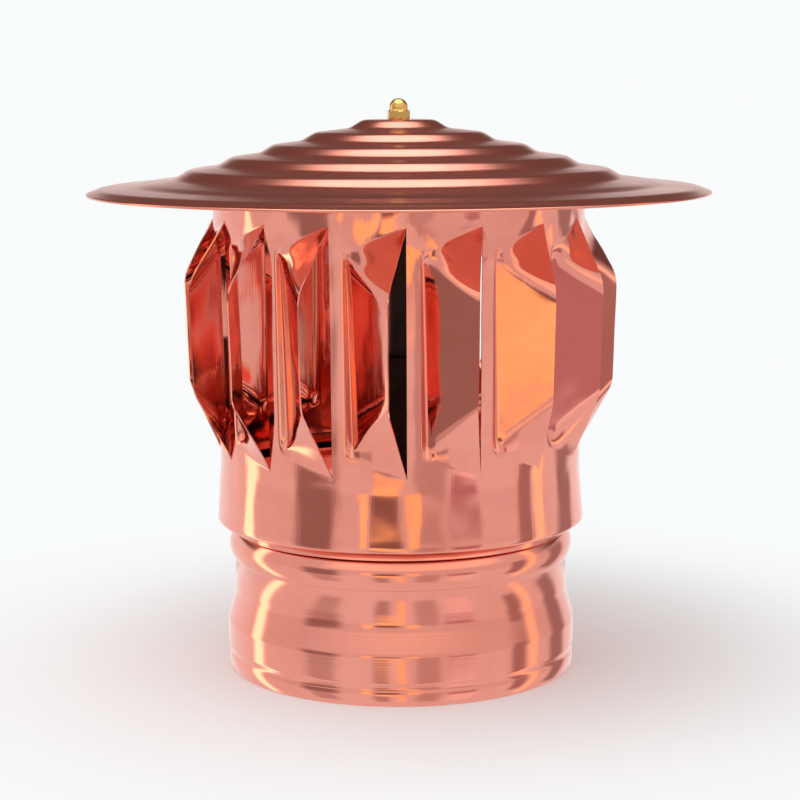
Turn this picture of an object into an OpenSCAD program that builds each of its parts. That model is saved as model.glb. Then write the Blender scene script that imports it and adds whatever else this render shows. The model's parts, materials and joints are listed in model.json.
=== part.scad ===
// Rotary chimney cowl: a louvred copper drum under a stepped cap, turning on
// a spindle in a bearing tube that stands in a beaded socket on the flue.
// All sizes in millimetres. +Z is up; the origin is the centre of the socket's
// lower rim. Angles of the drum are counted from -Y towards +X.

/* [Sheet] */
// Copper sheet thickness
sheet_t = 0.8; // [0.6:0.1:1.1]
// Play between riveted or stacked pieces
seat_gap = 0.05; // [0.02:0.01:0.08]

/* [Flue socket] */
// Inner diameter of the socket that slips over the flue
flue_bore_d = 200.8; // [170:1:230]
// Height of the straight socket
socket_h = 28.5; // [22:0.5:36]
// Raised band above the groove, extra height on the outside
band_out = 0.4; // [0.2:0.1:0.6]
// Height of the groove above the lower rim
groove_z = 9.8; // [7:0.1:12]
// Width of the groove
groove_w = 3.6; // [2:0.2:5]
// Depth of the groove
groove_depth = 0.35; // [0.2:0.05:0.45]
// How far the waist lies inside the socket
waist_in = 4.1; // [3:0.1:6]
// Height of the taper between socket and waist
taper_h = 16; // [12:1:20]
// Height of the straight waist
waist_h = 19; // [14:1:26]
// Height of the round bead above the waist
bead_h = 17.5; // [12:0.5:22]
// How far the bead stands out
bead_out = 3.1; // [2:0.1:4]
// Straight neck above the bead, inside the skirt
neck_h = 30; // [27:1:36]

/* [Bridge and bearing tube] */
// Width of the four bridge arms
arm_w = 18; // [14:1:24]
// Thickness of the bridge plate
arm_t = 3; // [2.5:0.5:4]
// Diameter of the plate under the bearing tube
hub_pad_d = 62; // [58:1:70]
// Height of the feet that are riveted to the neck
foot_h = 17; // [14:1:20]
// Distance of the bridge's upper face below the neck's edge
bridge_drop = 4; // [3:0.5:6]
// Diameter of the rivets
rivet_d = 4; // [3:0.5:5]
// Spacing of the two rivets in a foot
foot_rivet_pitch = 11; // [9:0.5:12]
// Outer diameter of the bearing tube
tube_d = 28; // [26:0.5:30]
// Height of the bearing tube above the bridge
tube_h = 74; // [60:1:80]
// Diameter of the tube's foot flange
tube_flange_d = 56; // [54:1:58]
// Thickness of the foot flange
tube_flange_t = 5; // [4:0.5:6]
// Bolt circle of the foot flange
tube_pcd = 43; // [41.5:0.5:44]
// Diameter of the flange bolts
bolt_d = 5; // [4:1:5]
// Bore between the two bearing seats
tube_waist_bore_d = 18.4; // [17:0.2:19]

/* [Bearings] */
// Bore of the ball bearings
brg_bore_d = 8; // [8:0.01:8.02]
// Outer diameter of the ball bearings
brg_od = 22; // [22:0.01:22.02]
// Width of the ball bearings
brg_w = 7; // [7:0.1:7.4]
// Ball diameter
ball_d = 3.969; // [3.9:0.001:4]
// Number of balls
n_balls = 7; // [6:1:7]
// Radial running play of a ball between the races
ball_play = 0.012; // [0.01:0.002:0.02]
// Radial play of the bearing seats
brg_fit = 0.015; // [0.01:0.005:0.03]
// Thickness of the clips in the tube
clip_t = 1.2; // [1:0.1:1.4]

/* [Spindle] */
// Diameter of the shaft between the upper bearing and the collar
shaft_d = 12; // [11.5:0.5:12.5]
// Diameter of the collar under the hub plate
collar_d = 26; // [22:1:32]
// Thickness of the collar
collar_t = 4; // [3:0.5:6]
// Across flats of the hub nut
hub_nut_af = 13; // [13:0.5:14]
// Height of the hub nut
hub_nut_h = 6.5; // [6:0.5:8]
// Across flats of the cap nut
cap_nut_af = 12; // [11:0.5:14]
// Height of the hexagon of the cap nut
cap_nut_hex_h = 5; // [4:0.5:6]
// Diameter of the dome of the cap nut
cap_nut_dome_d = 10.7; // [10.2:0.1:11]
// Height of the whole cap nut
cap_nut_h = 11.8; // [11:0.1:13]

/* [Drum] */
// Radial gap between the bead and the inside of the skirt
run_gap = 5.9; // [5:0.1:9]
// Height of the skirt's edge above the bead
skirt_lift = 5.2; // [4:0.2:8]
// Height of the skirt
skirt_h = 33; // [28:1:40]
// How much wider the skirt is at its edge than at its neck
skirt_flare = 2.3; // [1:0.1:4]
// Radius of the inward curl along the skirt's edge
curl_r = 1.9; // [1.6:0.1:2.4]
// Height from the skirt's neck to the louvres' lower points
louvre_z = 7.5; // [6:0.5:12]
// Height of the louvre openings
louvre_h = 135.5; // [120:0.5:150]
// Height of the plain ring above the louvres
ring_h = 27.4; // [25:0.1:32]
// How much wider the ring is than the skirt's neck
ring_widen = 2.1; // [0:0.1:3]
// Number of louvres
n_louvres = 16; // [14:1:18]
// Width of the straight post left between two louvres
post_w = 7.8; // [6:0.2:9]
// Width of the valley beside the post, at its lower end
valley_w = 4.3; // [3:0.1:5]
// Width of the valley beside the post, at its upper end
valley_top_w = 1.5; // [1.2:0.1:2.5]
// Depth of the valley
valley_depth = 3.2; // [2:0.1:4]
// Gap along the drum between a louvre's free edge and the next post
mouth_w = 9.2; // [7:0.2:11]
// How far the free edge stands out from the drum
bulge = 18.7; // [14:0.1:21]
// Drop from the opening's upper point to the free edge's upper corner
free_top_drop = 35; // [30:0.5:40]
// Rise from the opening's lower point to the free edge's lower corner
free_bot_rise = 38; // [32:0.5:42]
// Drop from the opening's upper point to the valley's upper end
valley_top_drop = 13.5; // [10:0.5:18]
// Rise from the opening's lower point to the valley's lower end
valley_bot_rise = 12; // [9:0.5:16]
// Length of the soft bend at a louvre's creases
crease_soft = 1.8; // [1:0.1:3]
// Turn of the drum at rest
drum_turn = 4.2; // [0:0.1:22]

/* [Hub plate] */
// Thickness of the hub plate
plate_t = 1.5; // [1.2:0.1:2]
// Height of the hub plate's upturned rim
plate_rim_h = 17; // [15:1:19]
// Height of the rivet line below the drum's upper edge
rivet_drop = 9.5; // [8.5:0.5:11]
// Number of rivets that hold the plate in the drum
n_plate_rivets = 8; // [6:2:12]

/* [Cap] */
// Outer radius of the cap
cap_r = 178.1; // [165:0.5:195]
// Radius of the flat crown
crown_r = 20.6; // [16:0.5:24]
// Radius at which the second step starts
first_step_r = 48; // [46:0.5:50]
// Radial distance between steps
step_pitch = 24.1; // [23:0.1:25]
// Number of equal steps after the crown
n_steps = 4; // [3:1:4]
// Radial width of a step's slope
riser_w = 7.8; // [6:0.2:9]
// Height of a step's slope
riser_h = 4.85; // [3:0.05:6]
// Fall of the flat ground between two steps
tread_drop = 2.1; // [1:0.1:3]
// Height of the last, lower step before the brim
last_riser_h = 1.6; // [1:0.1:3]
// Fall of the brim
brim_drop = 1.4; // [0.8:0.1:3]
// Width of the bent-down lip at the brim's edge
lip_w = 7.4; // [5:0.2:10]
// Height of the lip
lip_h = 2.6; // [2:0.1:5]
// Radius of the wired edge of the lip
wire_r = 0.75; // [0.6:0.05:0.9]
// Rounding of the steps
step_round = 2.6; // [1.5:0.1:3]

/* [Hidden] */
$fn = 96;
e = 0.01;

// base heights and radii
flue_r = flue_bore_d / 2;
waist_ri = flue_r - waist_in;
waist_ro = waist_ri + sheet_t;
taper_z = socket_h;
waist_z = taper_z + taper_h;
bead_z = waist_z + waist_h;
neck_z = bead_z + bead_h;
collar_z = neck_z + neck_h;

// bridge and tube heights
bridge_z = collar_z - bridge_drop;
foot_ro = waist_ri - seat_gap;
foot_ri = foot_ro - arm_t;
foot_rivet_z = bridge_z - arm_t - foot_h * 0.45;
rivet_r = rivet_d / 2;
head_r = rivet_d * 0.85;
head_h = rivet_d * 0.35;
tube_z = bridge_z;
tube_top = tube_z + tube_h;
low_brg_z = tube_z + 2 + clip_t;
top_brg_z = tube_top - 4.1 - brg_w;
seat_r = brg_od / 2 + brg_fit;
bolt_af = bolt_d * 1.6;
bolt_head_h = bolt_d * 0.7;
bolt_nut_h = bolt_d * 0.8;

// bearing radii
pitch_r = (brg_bore_d + brg_od) / 4;
race_r = ball_d * 0.515;
inner_land_r = pitch_r - ball_d / 2 + 0.48;
outer_land_r = pitch_r + ball_d / 2 - 0.48;
shield_r = outer_land_r + 0.6;

// spindle and stack heights
brg_r = brg_bore_d / 2;
spindle_end = low_brg_z - 4;
washer_t = 1;
spindle_clip_t = 0.8;
clip_z = low_brg_z - washer_t - seat_gap - spindle_clip_t;
shaft_z = top_brg_z + brg_w;

// drum heights and radii
skirt_z = neck_z + skirt_lift;
skirt_r = waist_ro + bead_out + run_gap + sheet_t;
drum_neck_z = skirt_z + skirt_h;
drum_neck_r = skirt_r - skirt_flare;
louvre_z0 = drum_neck_z + louvre_z;
louvre_z1 = louvre_z0 + louvre_h;
ring_r = drum_neck_r + ring_widen;
ring_z = louvre_z1 + 1.5;
drum_top = louvre_z1 + ring_h;

// hub plate and stack above it
plate_rivet_z = drum_top - rivet_drop;
plate_z = drum_top - 3 - plate_rim_h;
plate_ro = ring_r - sheet_t - 2 * seat_gap;
plate_ri = plate_ro - plate_t;
hub_washer_t = 1.6;
nut_z = plate_z + plate_t + hub_washer_t;
sleeve_z = nut_z + hub_nut_h;

// cap heights: the cap's ground rests on the drum's upper edge
crown_fall = 0.2;
sleeve_ro = brg_r + 3;
tread_slope = tread_drop / (step_pitch - riser_w);
cap_steps_r = concat([crown_r], [for (i = [0 : n_steps - 1]) first_step_r + i * step_pitch]);
cap_last_r = first_step_r + n_steps * step_pitch;
cap_rise = drum_top + sheet_t * 1.1 + seat_gap - cap_fall(ring_r);
crown_z = cap_rise;
cap_under = crown_z - sheet_t * 1.1;
sleeve_top = cap_under - crown_fall * sleeve_ro / crown_r - seat_gap / 2;
spindle_top = crown_z + cap_nut_h - 3.2;

// ground line of the cap, outer face, as [radius, fall below the crown]
function cap_outline() = concat(
    [[0, 0], [crown_r, crown_fall]],
    [for (i = [0 : n_steps - 1], s = [0, 1])
        s == 0 ? [cap_steps_r[i] + riser_w, crown_fall + i * (riser_h + tread_drop) + riser_h]
               : [cap_steps_r[i + 1], crown_fall + (i + 1) * (riser_h + tread_drop)]],
    [[cap_steps_r[n_steps] + riser_w, crown_fall + n_steps * (riser_h + tread_drop) + riser_h],
     [cap_last_r, cap_ground_fall()],
     [cap_last_r + riser_w, cap_ground_fall() + last_riser_h],
     [cap_r - lip_w, cap_ground_fall() + last_riser_h + brim_drop],
     [cap_r - wire_r, cap_ground_fall() + last_riser_h + brim_drop + lip_h]]);
function cap_ground_fall() = crown_fall + (n_steps + 1) * (riser_h + tread_drop);
function fall_at(p, r, i = 0) =
    i >= len(p) - 2 || r <= p[i + 1][0]
        ? p[i][1] + (p[i + 1][1] - p[i][1]) * (r - p[i][0]) / (p[i + 1][0] - p[i][0])
        : fall_at(p, r, i + 1);
function cap_fall(r) = -fall_at(cap_outline(), r);

// small helpers
function pol(r, a, z) = [r * cos(a - 90), r * sin(a - 90), z];
function unit(v) = v / max(norm(v), 1e-9);
function mix(a, b, s) = a + (b - a) * s;
function chord_x(r, w) = sqrt(r * r - w * w);
function deg(w) = w / ((drum_neck_r + ring_r) / 2) * 180 / PI;

// rounds the inner corners of an open line of 2D points
function rounded(p, r, n = 4) = concat([p[0]],
    [for (i = [1 : len(p) - 2])
        let (u = unit(p[i - 1] - p[i]), v = unit(p[i + 1] - p[i]),
             d = min(r, 0.45 * norm(p[i - 1] - p[i]), 0.45 * norm(p[i + 1] - p[i])))
        for (k = [0 : n])
            let (s = k / n, a = p[i] + u * d, b = p[i] + v * d)
            a * (1 - s) * (1 - s) + p[i] * 2 * s * (1 - s) + b * s * s],
    [p[len(p) - 1]]);
function reversed(p) = [for (i = [len(p) - 1 : -1 : 0]) p[i]];
function shifted(p, d) = [for (q = p) q + d];

module ring(ro, ri, h, z = 0) {
    translate([0, 0, z])
        difference() {
            cylinder(r = ro, h = h);
            translate([0, 0, -1]) cylinder(r = ri, h = h + 2);
        }
}

// hexagon with chamfered corners, standing on z = 0
module hex_block(af, h, top_only = false) {
    rc = af / sqrt(3);
    c = rc - af / 2;
    intersection() {
        cylinder(r = rc, h = h, $fn = 6);
        rotate_extrude()
            polygon([[0, 0], [top_only ? rc : rc - c, 0], [rc, top_only ? e : c * 0.6],
                     [rc, h - c * 0.6], [rc - c, h], [0, h]]);
    }
}

// domed rivet along +X; head at radius ro, shank through to ri, set head inside
module radial_rivet(ro, ri) {
    xi = chord_x(ri, head_r) - seat_gap / 2;
    xo = ro + seat_gap / 2;
    rotate([0, 90, 0]) {
        translate([0, 0, xi - head_h]) cylinder(r1 = head_r * 0.8, r2 = head_r, h = head_h, $fn = 32);
        translate([0, 0, xi - head_h / 2]) cylinder(r = rivet_r, h = xo - xi + head_h / 2 + e, $fn = 32);
        translate([0, 0, xo])
            rotate_extrude($fn = 32)
                polygon(concat([[0, 0]], [for (k = [0 : 5])
                    [head_r * cos(k * 18), head_h * sin(k * 18)]], [[0, head_h]]));
    }
}

module radial_hole(r0, r1) {
    translate([r0, 0, 0]) rotate([0, 90, 0])
        cylinder(r = rivet_r + seat_gap, h = r1 - r0, $fn = 32);
}

// ---- fixed base ----

function groove_dip(z) = groove_depth * max(0, 1 - pow((z - groove_z) / (groove_w / 2), 2));
function bead_arc(n) = [for (k = [0 : n]) let (s = k / n)
    [waist_ro + bead_out * pow(sin(180 * s), 0.8), bead_z + bead_h * s]];

module base_collar() {
    rim_ro = flue_r + sheet_t;
    band_ro = rim_ro + band_out;
    band_z = groove_z + groove_w / 2 + 1.2;
    color("#c8745c")
    difference() {
        rotate_extrude($fn = 128)
            polygon(concat(
                [[rim_ro - 0.3, 0], [rim_ro, 0.3]],
                [for (k = [0 : 8]) let (z = groove_z + groove_w * (k / 8 - 0.5))
                    [rim_ro - groove_dip(z), z]],
                [[rim_ro, band_z - 0.6], [band_ro, band_z], [band_ro, taper_z - 0.8],
                 [rim_ro, taper_z + 0.8], [waist_ro + 0.6, waist_z - 3], [waist_ro, waist_z]],
                bead_arc(16),
                [[waist_ro, collar_z], [waist_ri, collar_z], [waist_ri, neck_z - 0.6]],
                [for (q = reversed(bead_arc(16))) if (q[0] > waist_ro + 0.5)
                    [q[0] - sheet_t, mix(q[1], bead_z + bead_h / 2, 0.05)]],
                [[waist_ri, bead_z + 0.6], [waist_ri, waist_z], [flue_r, taper_z], [flue_r, 0]]));
        for (a = [0 : 90 : 270], s = [-1, 1])
            rotate([0, 0, a + s * foot_rivet_a()]) translate([0, 0, foot_rivet_z])
                radial_hole(foot_ri, waist_ro + 2);
    }
}

function foot_rivet_a() = foot_rivet_pitch / 2 / waist_ri * 180 / PI;

module bridge() {
    foot_a = asin(min(0.9, (arm_w / 2 + 1) / foot_ro));
    color("#9a9c9e")
    difference() {
        union() {
            translate([0, 0, bridge_z - arm_t]) cylinder(d = hub_pad_d, h = arm_t);
            intersection() {
                for (a = [0, 90]) rotate([0, 0, a])
                    translate([-foot_ro, -arm_w / 2, bridge_z - arm_t])
                        cube([2 * foot_ro, arm_w, arm_t]);
                cylinder(r = foot_ro, h = bridge_z + 1);
            }
            for (a = [0 : 90 : 270]) rotate([0, 0, a - foot_a])
                rotate_extrude(angle = 2 * foot_a)
                    translate([foot_ri, bridge_z - foot_h]) square([arm_t, foot_h]);
        }
        translate([0, 0, bridge_z - arm_t - 1])
            cylinder(r = seat_r + 1, h = arm_t + 2);
        for (a = [45 : 90 : 315]) rotate([0, 0, a])
            translate([tube_pcd / 2, 0, bridge_z - arm_t - 1])
                cylinder(r = bolt_d / 2 + 0.2, h = arm_t + 2, $fn = 32);
        for (a = [0 : 90 : 270], s = [-1, 1])
            rotate([0, 0, a + s * foot_rivet_a()]) translate([0, 0, foot_rivet_z])
                radial_hole(foot_ri - 2, foot_ro + 2);
    }
}

module bridge_rivets() {
    color("#b86a52")
    for (a = [0 : 90 : 270], s = [-1, 1])
        rotate([0, 0, a + s * foot_rivet_a()]) translate([0, 0, foot_rivet_z])
            radial_rivet(waist_ro, foot_ri);
}

// bored tube with a foot flange, two bearing seats and their clip grooves
module bearing_tube() {
    color("#7f8387")
    difference() {
        rotate_extrude()
            polygon([[0, tube_z], [tube_flange_d / 2 - 0.6, tube_z], [tube_flange_d / 2, tube_z + 0.6],
                     [tube_flange_d / 2, tube_z + tube_flange_t - 0.6],
                     [tube_flange_d / 2 - 0.6, tube_z + tube_flange_t],
                     [tube_d / 2 + 2, tube_z + tube_flange_t], [tube_d / 2, tube_z + tube_flange_t + 2],
                     [tube_d / 2, tube_top - 0.8], [tube_d / 2 - 0.8, tube_top], [0, tube_top]]);
        translate([0, 0, tube_z - 1]) cylinder(d = tube_waist_bore_d, h = tube_h + 2);
        translate([0, 0, tube_z - 1]) cylinder(r = seat_r, h = low_brg_z + brg_w - tube_z + 1);
        translate([0, 0, top_brg_z]) cylinder(r = seat_r, h = tube_h);
        for (z = [low_brg_z - clip_t, top_brg_z + brg_w])
            translate([0, 0, z - seat_gap]) cylinder(r = seat_r + 0.55, h = clip_t + 2 * seat_gap);
        for (a = [45 : 90 : 315]) rotate([0, 0, a])
            translate([tube_pcd / 2, 0, tube_z - 1])
                cylinder(r = bolt_d / 2 + 0.2, h = tube_flange_t + 2, $fn = 32);
    }
}

module tube_bolts() {
    grip = arm_t + tube_flange_t + bolt_nut_h + 1.2;
    color("#c9ccd0")
    for (a = [45 : 90 : 315]) rotate([0, 0, a])
        translate([tube_pcd / 2, 0, tube_z + tube_flange_t]) {
            hex_block(bolt_af, bolt_head_h, top_only = true);
            translate([0, 0, -grip]) cylinder(d = bolt_d, h = grip + e, $fn = 32);
        }
}

module tube_nuts() {
    color("#c9ccd0")
    for (a = [45 : 90 : 315]) rotate([0, 0, a])
        translate([tube_pcd / 2, 0, bridge_z - arm_t - bolt_nut_h])
            difference() {
                hex_block(bolt_af, bolt_nut_h);
                translate([0, 0, -1]) cylinder(r = bolt_d / 2 + 0.02, h = bolt_nut_h + 2, $fn = 32);
            }
}

// ---- bearings ----

module at_bearings() {
    for (z = [low_brg_z, top_brg_z]) translate([0, 0, z + brg_w / 2]) children();
}

module bearing_outers() {
    c = 0.3;
    h = brg_w / 2;
    color("#d8dade")
    at_bearings() difference() {
        rotate_extrude()
            polygon([[outer_land_r, -h], [brg_od / 2 - c, -h], [brg_od / 2, -h + c],
                     [brg_od / 2, h - c], [brg_od / 2 - c, h], [outer_land_r, h]]);
        rotate_extrude() translate([pitch_r + ball_d / 2 + ball_play - race_r, 0]) circle(r = race_r);
        for (s = [-1, 1]) translate([0, 0, s > 0 ? h - 0.7 : -h - 1])
            cylinder(r = shield_r, h = 1.7);
    }
}

module bearing_inners() {
    c = 0.3;
    h = brg_w / 2;
    ri = brg_r + brg_fit;
    color("#d8dade")
    at_bearings() difference() {
        rotate_extrude()
            polygon([[ri, -h + c], [ri + c, -h], [inner_land_r - c / 2, -h], [inner_land_r, -h + c / 2],
                     [inner_land_r, h - c / 2], [inner_land_r - c / 2, h], [ri + c, h], [ri, h - c]]);
        rotate_extrude() translate([pitch_r - ball_d / 2 - ball_play + race_r, 0]) circle(r = race_r);
    }
}

module bearing_shields() {
    color("#b9bcc0")
    at_bearings() for (s = [-1, 1])
        ring(shield_r - 0.01, inner_land_r + 0.35, 0.35, s > 0 ? brg_w / 2 - 0.7 : -brg_w / 2 + 0.35);
}

module ball_row(z) {
    color("#e6e8ea")
    translate([0, 0, z + brg_w / 2]) for (i = [0 : n_balls - 1])
        rotate([0, 0, i * 360 / n_balls]) translate([pitch_r, 0, 0]) sphere(d = ball_d, $fn = 48);
}

// crown cage: a ring below the balls with open pockets that hold them apart
module ball_cage(z) {
    color("#c9a24a")
    translate([0, 0, z + brg_w / 2]) difference() {
        ring(pitch_r + 0.85, pitch_r - 0.85, 3.2, -2.65);
        for (i = [0 : n_balls - 1]) rotate([0, 0, i * 360 / n_balls])
            translate([pitch_r, 0, 0]) sphere(d = ball_d + 0.12, $fn = 48);
    }
}

module balls_lower() { ball_row(low_brg_z); }
module cage_lower() { ball_cage(low_brg_z); }
module balls_upper() { ball_row(top_brg_z); }
module cage_upper() { ball_cage(top_brg_z); }

// open spring ring with two ears that keeps a bearing in its seat
module tube_clips() {
    ro = seat_r + 0.5;
    ri = seat_r - 1.7;
    color("#55585c")
    for (z = [low_brg_z - clip_t, top_brg_z + brg_w])
        translate([0, 0, z])
            difference() {
                union() {
                    ring(ro, ri, clip_t);
                    for (s = [-1, 1]) rotate([0, 0, s * 22]) translate([seat_r - 1.9, 0, 0])
                        cylinder(r = 1.5, h = clip_t, $fn = 24);
                }
                translate([0, -2.2, -1]) cube([ro + 3, 4.4, clip_t + 2]);
                for (s = [-1, 1]) rotate([0, 0, s * 22]) translate([seat_r - 1.9, 0, -1])
                    cylinder(r = 0.7, h = clip_t + 2, $fn = 24);
            }
}

// ---- rotor: spindle and its stack ----

module spindle() {
    r = brg_r;
    gr = r - 0.25;
    color("#8e9296")
    rotate_extrude($fn = 64)
        polygon([[0, spindle_end], [r - 0.5, spindle_end], [r, spindle_end + 0.5],
                 [r, clip_z - seat_gap], [gr, clip_z - seat_gap],
                 [gr, clip_z + spindle_clip_t + seat_gap / 2], [r, clip_z + spindle_clip_t + seat_gap / 2],
                 [r, shaft_z], [min(shaft_d / 2, inner_land_r), shaft_z], [shaft_d / 2, shaft_z + 1],
                 [shaft_d / 2, plate_z - collar_t - 3], [shaft_d / 2 + 3, plate_z - collar_t],
                 [collar_d / 2, plate_z - collar_t], [collar_d / 2, plate_z], [r, plate_z],
                 [r, spindle_top - 0.8], [r - 0.8, spindle_top], [0, spindle_top]]);
}

module inner_spacer() {
    color("#a7abaf")
    ring(inner_land_r - 0.5, brg_r + brg_fit, top_brg_z - low_brg_z - brg_w, low_brg_z + brg_w);
}

module thrust_washer() {
    color("#c9ccd0")
    ring(inner_land_r, brg_r + brg_fit, washer_t, low_brg_z - washer_t);
}

module spindle_clip() {
    color("#55585c")
    translate([0, 0, clip_z]) difference() {
        ring(brg_r + 1.7, brg_r - 0.24, spindle_clip_t);
        translate([0, -2.6, -1]) cube([brg_r + 3, 5.2, spindle_clip_t + 2]);
    }
}

module hub_washer() {
    color("#c9ccd0")
    ring(12, brg_r + 0.2, hub_washer_t, plate_z + plate_t);
}

module hub_nut() {
    color("#c9ccd0")
    translate([0, 0, nut_z]) difference() {
        hex_block(hub_nut_af, hub_nut_h);
        translate([0, 0, -1]) cylinder(r = brg_r + 0.02, h = hub_nut_h + 2);
    }
}

module cap_sleeve() {
    color("#a7abaf")
    ring(sleeve_ro, brg_r + 0.1, sleeve_top - sleeve_z, sleeve_z);
}

// domed brass nut on the crown
module acorn_nut() {
    dome_r = cap_nut_dome_d / 2;
    color("#d9a441")
    translate([0, 0, crown_z]) rotate([0, 0, 5.2 + drum_turn]) difference() {
        union() {
            hex_block(cap_nut_af, cap_nut_hex_h);
            rotate_extrude()
                polygon(concat([[0, 1], [dome_r, 1], [dome_r, cap_nut_h - dome_r]],
                    [for (k = [1 : 11]) [dome_r * cos(k * 7.5), cap_nut_h - dome_r + dome_r * sin(k * 7.5)]],
                    [[0, cap_nut_h]]));
        }
        translate([0, 0, -1]) cylinder(r = brg_r + 0.02, h = spindle_top - crown_z + 1.4);
    }
}

// ---- rotor: hub plate, drum and cap ----

function plate_rivet_a(i) = drum_turn - 90 + i * 360 / n_plate_rivets;

module hub_plate() {
    color("#b86a52")
    difference() {
        rotate_extrude($fn = 128)
            polygon(concat(
                [[brg_r + 0.1, plate_z]],
                rounded([[brg_r + 0.1, plate_z], [plate_ro, plate_z], [plate_ro, plate_z + plate_rim_h]], 5),
                rounded([[plate_ri, plate_z + plate_rim_h], [plate_ri, plate_z + plate_t],
                         [brg_r + 0.1, plate_z + plate_t]], 3.5)));
        for (i = [0 : n_plate_rivets - 1]) rotate([0, 0, plate_rivet_a(i)])
            translate([0, 0, plate_rivet_z]) radial_hole(plate_ri - 2, plate_ro + 2);
    }
}

module plate_rivets() {
    color("#b86a52")
    for (i = [0 : n_plate_rivets - 1]) rotate([0, 0, plate_rivet_a(i)])
        translate([0, 0, plate_rivet_z]) radial_rivet(ring_r, plate_ri);
}

// outer radius of the drum's wall at a height
function wall_r(z) =
    z < drum_neck_z ? drum_neck_r + skirt_flare * (drum_neck_z - z) / skirt_h :
    z < ring_z ? mix(drum_neck_r, ring_r, (z - drum_neck_z) / (ring_z - drum_neck_z)) : ring_r;

function curl(r) = [for (k = [0 : 6]) let (a = -140 + k * 140 / 6)
    [skirt_r - curl_r + r * cos(a), skirt_z + curl_r + r * sin(a)]];

module drum_wall() {
    t = sheet_t;
    rotate_extrude($fn = 128)
        polygon(concat(
            curl(curl_r),
            rounded([[skirt_r, skirt_z + curl_r], [drum_neck_r, drum_neck_z], [ring_r, ring_z],
                     [ring_r, drum_top]], 4, 3),
            reversed(rounded([[skirt_r - t, skirt_z + curl_r], [drum_neck_r - t, drum_neck_z],
                              [ring_r - t, ring_z], [ring_r - t, drum_top]], 4, 3)),
            reversed(curl(curl_r - t))));
}

// angles and heights of one louvre, counted from the middle of its post
pitch_a = 360 / n_louvres;
post_a = deg(post_w / 2);
next_a = pitch_a - post_a;
free_a = next_a - deg(mouth_w);
valley_a0 = post_a + deg(valley_w) / 2;
valley_a1 = post_a + deg(valley_top_w) / 2;
tongue = 1.3;
bury = sheet_t * 0.22;

// the opening cut in the wall: a slanted four-sided window
module louvre_window() {
    mid = (post_a + next_a) / 2;
    rm = (drum_neck_r + ring_r) / 2;
    function u(a) = rm * sin(a - mid);
    rotate([0, 0, mid]) translate([0, -rm - 8, 0]) rotate([90, 0, 0]) translate([0, 0, -16])
        linear_extrude(height = 16)
            polygon([[u(post_a), louvre_z0 + valley_bot_rise], [u(next_a), louvre_z0],
                     [u(next_a), louvre_z1], [u(post_a), louvre_z1 - valley_top_drop]]);
}

// one column of the louvre, from the lower seam to the upper seam; s runs from
// the valley (0) to the free edge (1)
function soft(a, q, b) = let (d = crease_soft,
    u = q + unit(a - q) * min(d, 0.4 * norm(a - q)), v = q + unit(b - q) * min(d, 0.4 * norm(b - q)))
    [for (k = [0 : 2]) let (s = k / 2) u * (1 - s) * (1 - s) + q * 2 * s * (1 - s) + v * s * s];
function seam(a, z, k) = pol(wall_r(z) - bury - k * (sheet_t - 2 * bury), a, z);
function low_z(a) = mix(louvre_z0 + valley_bot_rise, louvre_z0, (a - post_a) / (next_a - post_a));
function high_z(a) = mix(louvre_z1 - valley_top_drop, louvre_z1, (a - post_a) / (next_a - post_a));
function low_a(s) = mix(valley_a0 + 0.6, next_a, s);
function high_a(s) = mix(valley_a1, next_a, s);
function crease_low(s) = mix(
    pol(wall_r(louvre_z0) - valley_depth, valley_a0 + 0.6, low_z(valley_a0) + 2.2 * valley_depth),
    pol(wall_r(louvre_z0) + bulge, free_a, louvre_z0 + free_bot_rise), s);
function crease_high(s) = mix(
    pol(wall_r(louvre_z1) - valley_depth, valley_a1, high_z(valley_a1) - 2.2 * valley_depth),
    pol(wall_r(louvre_z1) + bulge, free_a, louvre_z1 - free_top_drop), s);
function column(s) =
    let (wl = seam(low_a(s), low_z(low_a(s)), 0), wh = seam(high_a(s), high_z(high_a(s)), 0),
         ql = crease_low(s), qh = crease_high(s))
    concat([wl], soft(wl, ql, qh), soft(ql, qh, wh), [wh]);

n_across = 6;
louvre_grid = [for (j = [0 : n_across]) column(j / n_across)];
rows = len(louvre_grid[0]);
function row_z(i) = i == 0 ? low_z(post_a) : i == rows - 1 ? high_z(post_a)
    : mix(low_z(post_a), high_z(post_a), (louvre_grid[0][i][2] - louvre_grid[0][0][2])
        / (louvre_grid[0][rows - 1][2] - louvre_grid[0][0][2]));
function grid_at(j, i) = louvre_grid[max(0, min(n_across, j))][max(0, min(rows - 1, i))];
function face_n(j, i) = unit(cross(grid_at(j + 1, i) - grid_at(j - 1, i),
                                   grid_at(j, i + 1) - grid_at(j, i - 1)));
// side 0 is the outer face, side 1 the inner face of the sheet
function sheet_pt(j, i, k) =
    j < 0 ? seam(post_a - (j + 2 > 0 ? 0 : deg(tongue)), row_z(max(0, min(rows - 1, i)))
                 + (i < 0 ? -tongue : i >= rows ? tongue : 0), k) :
    i < 0 ? seam(low_a(j / n_across), low_z(low_a(j / n_across)) - tongue, k) :
    i >= rows ? seam(high_a(j / n_across), high_z(high_a(j / n_across)) + tongue, k) :
    i == 0 ? seam(low_a(j / n_across), low_z(low_a(j / n_across)), k) :
    i == rows - 1 ? seam(high_a(j / n_across), high_z(high_a(j / n_across)), k) :
    grid_at(j, i) - face_n(j, i) * sheet_t * k;

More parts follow.
